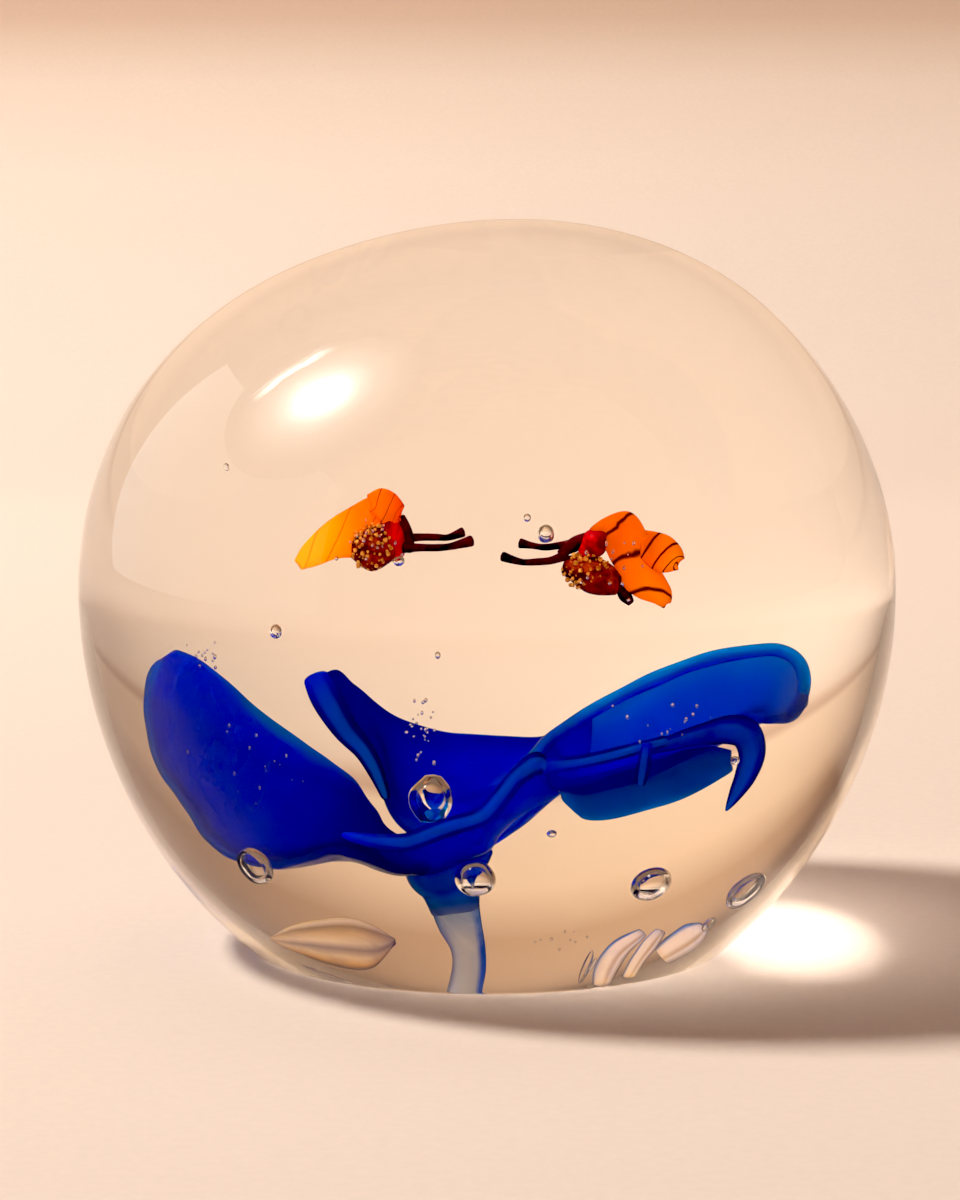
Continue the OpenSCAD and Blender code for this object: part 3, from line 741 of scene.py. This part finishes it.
FLAP_TOP = [
    (4.6, -4.4, 22), (7.4, -4.4, 22.6), (10.2, -4.4, 23.4), (13.3, -4.4, 24.2), (15.6, -4.4, 24.4),
    (17, -4.4, 24),
]
FLAP_LOW = [
    (5.2, -3.4, 20.9), (6.1, -3, 19.7), (6.7, -3, 19.2), (8.2, -3, 19.2), (10.8, -3, 19.8), (13, -3, 20.6),
    (15.2, -3, 21.7), (16.9, -3.2, 22.7),
]
finish_piece(
    sheet("right_flap", FLAP_TOP, FLAP_LOW, [(0, -0.5, 0), (0, -0.5, 0)], thick=1.0, bead=0.3, rough=0.14,
        rings=100, sides=48, seed=23),
    flap_mat, "teal_glass", "right_flap")

RIB = [(11.15, -6.7, 24.9), (11, -6.6, 23.8), (10.8, -6.2, 22.7), (10.6, -5.7, 21.7)]
finish_piece(
    rod("fold_rib", RIB, [0.35, 0.46, 0.48, 0.32], rings=40, sides=20, rough=0.04, seed=24),
    lip_mat, "cobalt_glass", "fold_rib")

# Pale folds near the foot, whose colours are painted reflections and highlights

LEFT_FOLD_TOP = [(-17.2, -8, 7.2), (-14.5, -8, 9.7), (-11, -8, 11), (-8.4, -8, 10.6), (-6.7, -8, 9.2)]
LEFT_FOLD_LOW = [(-17.2, -8.2, 6.9), (-14.5, -9, 6), (-11, -9.6, 5.3), (-8.8, -9.4, 5.9), (-6.7, -8.4, 8.9)]
LEFT_FOLD_SAG = [(0, 0, 0), (0, -0.7, 0), (0, 0, 0)]
finish_piece(
    sheet("left_fold", LEFT_FOLD_TOP, LEFT_FOLD_LOW, LEFT_FOLD_SAG, thick=0.6, bead=0.3, rough=0.16,
        rings=110, sides=60, seed=25),
    fold_reflection_mat, "clear_glass")

# Name, path, radii, sides, roughness and seed of each right fold
RIGHT_FOLDS = [
    ("right_fold_left", [(8.8, -8, 3.9), (9, -8, 6), (9.9, -8, 8), (11.6, -8, 9.4)],
     [0.7, 1.0, 0.9, 0.5], 30, 0.1, 26),
    ("right_fold_middle", [(11.1, -9, 4.1), (11.6, -9, 6), (12.4, -9, 7.8), (13.2, -9, 9.2)],
     [0.6, 0.75, 0.8, 0.5], 30, 0.1, 27),
    ("right_fold_bulb", [(13.4, -8, 6.2), (14.6, -8, 7), (16, -8, 7.9), (17, -8, 8.6)],
     [1.2, 1.8, 1.7, 0.8], 36, 0.14, 28),
]
for name, path, radii, sides, rough, seed in RIGHT_FOLDS:
    fold = rod(name, path, radii, rings=60, sides=sides, rough=rough, seed=seed)
    finish_piece(fold, gleam_mat, "clear_glass")

# The butterflies

def on_plane(points, forward=0.0):
    """Outline points given as across and height, on the butterflies' plane."""
    return [(x, BUTTERFLY_Y - forward, z) for x, z in points]


def wing(name, top, low, lean, material, slot, node_name, seed):
    ob = sheet(
        name, on_plane(top, -lean), on_plane(low, lean / 2), [(0, -0.25, 0), (0, -0.25, 0)],
        thick=0.75, bead=0.2, rough=0.07, rings=60, sides=36, seed=seed)
    return finish_piece(ob, material, slot, node_name)


def plump(name, a, b, r, material, slot, node_name, seed, rough=0.16):
    """A plump uneven body from a to b."""
    mid = ((a[0] + b[0]) / 2, (a[1] + b[1]) / 2)
    ob = rod(name, on_plane([a, mid, b]), [r * 0.5, r, r * 0.5], rings=40, sides=30, rough=rough, seed=seed)
    return finish_piece(ob, material, slot, node_name)


def feeler(name, points, forward, r, node_name, seed):
    ob = rod(name, on_plane(points, forward), [r * 1.6, r * 1.1, r, r * 0.95, r * 1.6], rings=60, sides=18,
        rough=0.05, seed=seed)
    return finish_piece(ob, black_mat, "black_glass", node_name)


def grains(name, centre, spread, count, size, node_name, seed):
    """Gold grains and flecks over the front of a body."""
    rng = np.random.RandomState(seed)
    bm = bmesh.new()
    for i in range(count):
        tilt = math.radians(86) * math.sqrt((i + 0.5) / count)
        turn = i * math.radians(137.5)
        r = size * rng.uniform(0.3, 1.5)
        at = np.array([
            centre[0] + spread[0] * math.sin(tilt) * math.cos(turn),
            BUTTERFLY_Y - spread[1] * math.cos(tilt) - 0.1,
            centre[1] + spread[2] * math.sin(tilt) * math.sin(turn),
        ]) + rng.uniform(-0.12, 0.12, 3)
        made = bmesh.ops.create_icosphere(bm, subdivisions=2, radius=r * MM)
        for v in made["verts"]:
            v.co = v.co * rng.uniform(0.82, 1.18) + Vector(at) * MM
    mesh = bpy.data.meshes.new(name)
    bm.to_mesh(mesh)
    bm.free()
    ob = bpy.data.objects.new(name, mesh)
    bpy.context.scene.collection.objects.link(ob)
    return finish_piece(ob, gold_mat, "gold_frit", node_name)


wing("left_wing_large", [(-12.9, 36.9), (-12.4, 38), (-11, 39.4), (-9.4, 40.4), (-7.8, 41.1), (-6.6, 40.4)],
     [(-12.7, 36.6), (-11.6, 36.8), (-10.4, 37.2), (-9.4, 37.3), (-8.2, 37.1), (-6.9, 37.6)],
     0.5, amber_mat, "amber_glass", "left_forewing", 31)
wing("left_wing_small", [(-8.1, 41), (-7.2, 41.5), (-6.3, 41.2), (-5.7, 40.4)],
     [(-7.9, 40.4), (-7.2, 39.6), (-6.5, 39.3), (-5.9, 39.8)],
     0.9, deep_amber_mat, "amber_glass", "left_hindwing", 32)
plump("left_abdomen_bulb", (-9.3, 38), (-6.2, 37.9), 1.5, garnet_mat, "garnet_glass", "left_abdomen", 33)
plump("left_thorax_bulb", (-7, 40.4), (-6, 37.2), 0.85, ruby_mat, "ruby_glass", "left_thorax", 34)
plump("left_head_bulb", (-5.9, 40), (-5.1, 37.6), 0.55, black_mat, "black_glass", "left_head", 35)
feeler("left_feeler_near", [(-5.8, 38), (-4.6, 38), (-3.4, 38), (-2.4, 38.1), (-0.9, 38.5)],
       0.5, 0.24, "left_antenna_near", 36)
feeler("left_feeler_far", [(-5.8, 38.4), (-4.6, 38.5), (-3.4, 38.5), (-2.6, 38.5), (-1.5, 38.9)],
       -0.6, 0.22, "left_antenna_far", 37)
grains("left_gold", (-7.8, 38.1), (1.5, 1.55, 1.5), 80, 0.13, "left_gold_grains", 38)

wing("right_wing_large",
     [(6.9, 39), (7.9, 39.8), (9.3, 40.3), (10.2, 39.9), (10.9, 38.6), (11.4, 37), (12.3, 35.3),
      (12.1, 34.5)],
     [(7.2, 38.6), (7.9, 38), (8.3, 37.2), (8.8, 36.4), (9.3, 35.4), (10.2, 34.8), (11.2, 34.5),
      (12, 34.2)],
     0.4, striped_mat, "amber_glass", "right_forewing", 41)
wing("right_wing_small", [(10.2, 39), (11.2, 38.9), (12.3, 38.6), (13, 37.9), (13.1, 37.2)],
     [(10.4, 37.4), (11, 36.8), (11.6, 36.5), (12.3, 36.5), (12.9, 36.8)],
     1.0, striped_mat, "amber_glass", "right_hindwing", 42)
plump("right_abdomen_bulb", (5.1, 36.9), (9, 35.6), 1.25, garnet_mat, "garnet_glass", "right_abdomen", 43)
plump("right_thorax_bulb", (6.3, 37.5), (8.2, 39), 0.8, ruby_mat, "ruby_glass", "right_thorax", 44)
plump("right_head_bulb", (4.8, 37.5), (7, 38.8), 0.5, black_mat, "black_glass", "right_head", 45)
feeler("right_feeler_upper", [(5.7, 38.1), (4.8, 38), (3.9, 37.9), (3.1, 38), (2.1, 38.2)],
       -0.4, 0.22, "right_antenna_upper", 46)
feeler("right_feeler_lower", [(5.5, 37.6), (4.4, 37.2), (3.4, 37.1), (2.3, 37.1), (0.9, 37.5)],
       0.5, 0.23, "right_antenna_lower", 47)
plump("right_foot_bulb", (8.8, 35.5), (9.7, 34.4), 0.42, black_mat, "black_glass", "right_foot", 48, 0.1)
plump("right_bead_bulb", (7.3, 36.7), (7.9, 36.9), 0.42, amber_mat, "amber_glass", "right_bead", 49, 0.05)
grains("right_gold", (6.7, 36.5), (1.6, 1.25, 1.1), 64, 0.13, "right_gold_grains", 50)


# Floor, lights and camera

def backdrop():
    """A sheet of warm paper: floor, a wide curve and a wall."""
    mat, tree, out = new_material("paper")
    place = node(tree, "ShaderNodeTexCoord")
    parts = node(tree, "ShaderNodeSeparateXYZ")
    tree.links.new(place.outputs["Object"], parts.inputs[0])
    wall_top = 0.5
    # The paper is painted darker in a band on the curve and towards the top of the wall: painted shade.
    high = math_node(tree, "DIVIDE", parts.outputs["Z"], wall_top, True)
    fade = ramp(tree, high, [(z / wall_top, colour) for z, colour in (
        (0.0, (0.97, 0.86, 0.78)), (0.015, (0.97, 0.87, 0.79)), (0.045, (0.96, 0.86, 0.78)),
        (0.08, (0.96, 0.85, 0.75)), (0.11, (0.9, 0.77, 0.67)), (0.123, (0.81, 0.66, 0.54)),
        (0.133, (0.73, 0.55, 0.43)), (0.145, (0.68, 0.5, 0.38)), (0.165, (0.9, 0.74, 0.58)),
        (0.33, (0.9, 0.72, 0.54)), (0.5, (0.6, 0.42, 0.28)),
    )])
    # The paper is also painted darker towards the front: painted shade.
    depth = math_node(tree, "DIVIDE", parts.outputs["Y"], 0.9, True)
    near = ramp(tree, depth,
        [(0.0, (0.87, 0.84, 0.82)), (0.12, (0.88, 0.85, 0.83)), (0.5, (0.98, 0.96, 0.95))])
    fade = mix_colour(tree, 1.0, fade, near, "MULTIPLY")
    fibre = object_noise(tree, scale=900, detail=4)
    colour = mix_colour(tree, 0.06, fade, ramp(tree, fibre, [(0.3, (0.5, 0.5, 0.5)), (0.7, (1, 1, 1))]),
        "MULTIPLY")
    paper = node(tree, "ShaderNodeBsdfPrincipled")
    paper.inputs["Roughness"].default_value = 0.85
    paper.inputs["Specular IOR Level"].default_value = 0
    tree.links.new(colour, paper.inputs["Base Color"])
    tree.links.new(bump(tree, fibre, strength=0.15, distance=0.0002), paper.inputs["Normal"])
    tree.links.new(paper.outputs[0], out.inputs["Surface"])
    radius, front, back, side, top = 0.35, -1.2, 0.55, 1.6, 1.6
    path = [(front, 0.0)]
    path += [
        (back + radius * math.sin(t), radius * (1 - math.cos(t))) for t in np.linspace(0, math.pi / 2, 30)
    ]
    path.append((back + radius, top))
    verts, faces = [], []
    for y, z in path:
        verts += [(-side / MM, y / MM, z / MM - 0.1), (side / MM, y / MM, z / MM - 0.1)]
    for i in range(len(path) - 1):
        faces.append((2 * i, 2 * i + 1, 2 * i + 3, 2 * i + 2))
    ob = make_piece("backdrop", verts, faces)
    ob.data.materials.append(mat)
    return ob


def lamp(name, at, aim, size, power, colour, shape="DISK", size_y=None):
    data = bpy.data.lights.new(name, "AREA")
    data.shape = shape
    data.size = size
    if size_y:
        data.size_y = size_y
    data.energy = power
    data.color = colour
    ob = bpy.data.objects.new(name, data)
    ob.location = at
    ob.rotation_euler = (Vector(at) - Vector(aim)).to_track_quat("Z", "Y").to_euler()
    bpy.context.scene.collection.objects.link(ob)
    return ob


def unseen_in_glass(ob):
    """Keeps a lamp out of reflections and out of what is seen through glass."""
    ob.visible_glossy = False
    ob.visible_transmission = False


floor = backdrop()
scene = bpy.context.scene
CAMERA_TILT = math.radians(7)
CAMERA_DISTANCE = 0.329
middle = Vector((-0.68, 0, 34.12)) * MM
KEY_DISTANCE = 1.3
FOCUS_DISTANCE = 0.8
CARD_DISTANCE = FOCUS_DISTANCE * 0.95
KEY_COLOUR = (1.0, 0.96, 0.9)
card_way = Vector((-0.567, -0.095, 0.814)).normalized()
key_way = Vector((-0.59, 0.02, 0.8)).normalized()
focus_way = Vector((-0.37, -0.13, 0.92)).normalized()

# The key is split in two: one lamp lights the paper, and the other is seen only through the glass.
key = lamp("key", middle + key_way * KEY_DISTANCE, middle, size=0.24, power=16.6, colour=KEY_COLOUR)
unseen_in_glass(key)
focus = lamp("key_through_glass", middle + focus_way * FOCUS_DISTANCE, middle, size=0.1, power=18.0,
    colour=KEY_COLOUR)
focus.visible_diffuse = False
focus.visible_glossy = False

# A spot that paints the bright patch on the paper. The glass doesn't block it.
GATHER_AT = Vector((0.031, 0.001, 0))
gather_way = Vector((0.0, 0.262, 0.145))
gathered = bpy.data.lights.new("gathered_light", "SPOT")
gathered.energy = 10
gathered.spot_size = math.radians(3.9)
gathered.spot_blend = 1.0
gathered.color = (1.0, 0.93, 0.84)
gathered_ob = bpy.data.objects.new("gathered_light", gathered)
gathered_ob.location = GATHER_AT + gather_way
gathered_ob.rotation_euler = gather_way.to_track_quat("Z", "Y").to_euler()
unseen_in_glass(gathered_ob)
scene.collection.objects.link(gathered_ob)

left_panel_at = middle + Vector((-0.75, -0.5, 0.18))
left_panel = lamp("left_panel", left_panel_at, middle, size=0.5, power=0.35, colour=(1.0, 0.88, 0.76),
    shape="RECTANGLE", size_y=0.6)
left_panel.visible_glossy = False
wash = lamp("wall_wash", (0, 0.35, 0.9), (0, 0.9, 0.1), size=0.8, power=1.25, colour=(1.0, 0.97, 0.94))
unseen_in_glass(wash)


def only_in_reflections(ob):
    """Hides a card from everything but reflections."""
    ob.visible_camera = False
    ob.visible_diffuse = False
    ob.visible_transmission = False
    ob.visible_shadow = False


def soft_box():
    """A glowing card for the highlight: bright in the middle, fading outwards, with a thin strip above."""
    mat, tree, out = new_material("soft_box_cloth")
    place = node(tree, "ShaderNodeTexCoord")
    size = node(tree, "ShaderNodeMapping")
    size.inputs["Scale"].default_value = (3.3, 3.3, 3.3)
    tree.links.new(place.outputs["Object"], size.inputs[0])
    distance = node(tree, "ShaderNodeVectorMath", operation="LENGTH")
    tree.links.new(size.outputs[0], distance.inputs[0])
    cloth = object_noise(tree, scale=9, detail=3)
    edge = math_node(tree, "ADD", distance.outputs["Value"], math_node(tree, "MULTIPLY", cloth, 0.08), True)
    glow = ramp(tree, edge, [
        (0.05, (1, 0.99, 0.97)), (0.26, (0.6, 0.58, 0.55)), (0.4, (0.24, 0.23, 0.22)),
        (0.56, (0.1, 0.095, 0.09)),
        (0.78, (0.03, 0.028, 0.026)), (1.0, (0, 0, 0)),
    ])
    parts = node(tree, "ShaderNodeSeparateXYZ")
    tree.links.new(size.outputs[0], parts.inputs[0])
    back = math_node(tree, "MULTIPLY", parts.outputs["X"], -1)
    rise = math_node(tree, "ADD", back, math_node(tree, "MULTIPLY", cloth, 0.2))
    strips = ramp(tree, rise, [
        (0.74, (0, 0, 0)), (0.79, (0.3, 0.3, 0.3)), (0.85, (0.3, 0.3, 0.3)), (0.88, (0, 0, 0)),
        (0.91, (0.12, 0.12, 0.12)),
        (0.94, (0, 0, 0)),
    ])
    side = math_node(tree, "ABSOLUTE", parts.outputs["Y"])
    short = ramp(tree, side, [(0.2, (1, 1, 1)), (0.42, (0, 0, 0))])
    glow = mix_colour(tree, 1.0, glow, mix_colour(tree, 1.0, strips, short, "MULTIPLY"), "ADD")
    shine = node(tree, "ShaderNodeEmission")
    shine.inputs["Strength"].default_value = 60
    tree.links.new(glow, shine.inputs["Color"])
    tree.links.new(shine.outputs[0], out.inputs["Surface"])
    steps = 32
    card_r = 0.34
    turns = np.arange(steps) * 2 * math.pi / steps
    rim = [(math.cos(t) / MM * card_r, math.sin(t) / MM * card_r, 0) for t in turns]
    ob = make_piece("soft_box", rim, [tuple(range(steps))])
    ob.location = middle + card_way * CARD_DISTANCE
    ob.rotation_euler = card_way.to_track_quat("Z", "Y").to_euler()
    ob.data.materials.append(mat)
    only_in_reflections(ob)


def pale_screen():
    """A tall pale screen at the left, seen only in reflections."""
    mat, tree, out = new_material("pale_screen")
    weave = object_noise(tree, scale=3, detail=2)
    shine = node(tree, "ShaderNodeEmission")
    shine.inputs["Strength"].default_value = 1.7
    tree.links.new(ramp(tree, weave, [(0.3, (0.85, 0.8, 0.74)), (0.7, (1, 0.96, 0.9))]),
        shine.inputs["Color"])
    tree.links.new(shine.outputs[0], out.inputs["Surface"])
    x, low, high, back, front = -1000, 20, 1000, 1450, -1000
    ob = make_piece("pale_screen", [(x, front, low), (x, back, low), (x, back, high), (x, front, high)],
        [(0, 1, 2, 3)])
    ob.data.materials.append(mat)
    only_in_reflections(ob)


# Lamps that light only what is sealed in the glass. The casing casts no shadow in their light.
inside = bpy.data.collections.new("inside")
scene.collection.children.link(inside)
for ob in list(scene.objects):
    if ob.type == "MESH" and not ob.hide_render and ob.name not in ("glass_body", "backdrop"):
        inside.objects.link(ob)
paper_only = bpy.data.collections.new("paper_only")
scene.collection.children.link(paper_only)
paper_only.objects.link(floor)
gathered_ob.light_linking.blocker_collection = paper_only
INSIDE_LAMPS = [
    ("inside_key", (-0.5, -0.15, 0.75), 0.3, 8.0), ("inside_fill", (0.1, -0.8, 0.2), 0.5, 10.0),
    ("inside_back", (0.1, 0.8, 0.3), 0.5, 5.0),
]
for name, way, size, power in INSIDE_LAMPS:
    ob = lamp(name, middle + Vector(way), middle, size, power, (1.0, 0.98, 0.95))
    unseen_in_glass(ob)
    ob.light_linking.receiver_collection = inside
    ob.light_linking.blocker_collection = paper_only if name == "inside_back" else inside

world = bpy.data.worlds.new("studio")
world.use_nodes = True
world.node_tree.nodes["Background"].inputs[0].default_value = (1.0, 0.66, 0.42, 1)
world.node_tree.nodes["Background"].inputs[1].default_value = 0.24
scene.world = world

soft_box()
pale_screen()

camera = bpy.data.cameras.new("camera")
camera.lens = 100
camera.sensor_width = 36
camera_ob = bpy.data.objects.new("camera", camera)
camera_ob.location = middle + CAMERA_DISTANCE * Vector((0, -math.cos(CAMERA_TILT), math.sin(CAMERA_TILT)))
camera_ob.rotation_euler = (math.radians(90) - CAMERA_TILT, 0, 0)
scene.collection.objects.link(camera_ob)
scene.camera = camera_ob

scene.cycles.max_bounces = 24
scene.cycles.transmission_bounces = 20
scene.cycles.transparent_max_bounces = 12
scene.cycles.caustics_refractive = True
scene.cycles.caustics_reflective = True
scene.view_settings.view_transform = "Standard"
scene.view_settings.use_curve_mapping = True
scene.view_settings.curve_mapping.black_level = (0.034, 0.026, 0.008)
scene.view_settings.curve_mapping.update()
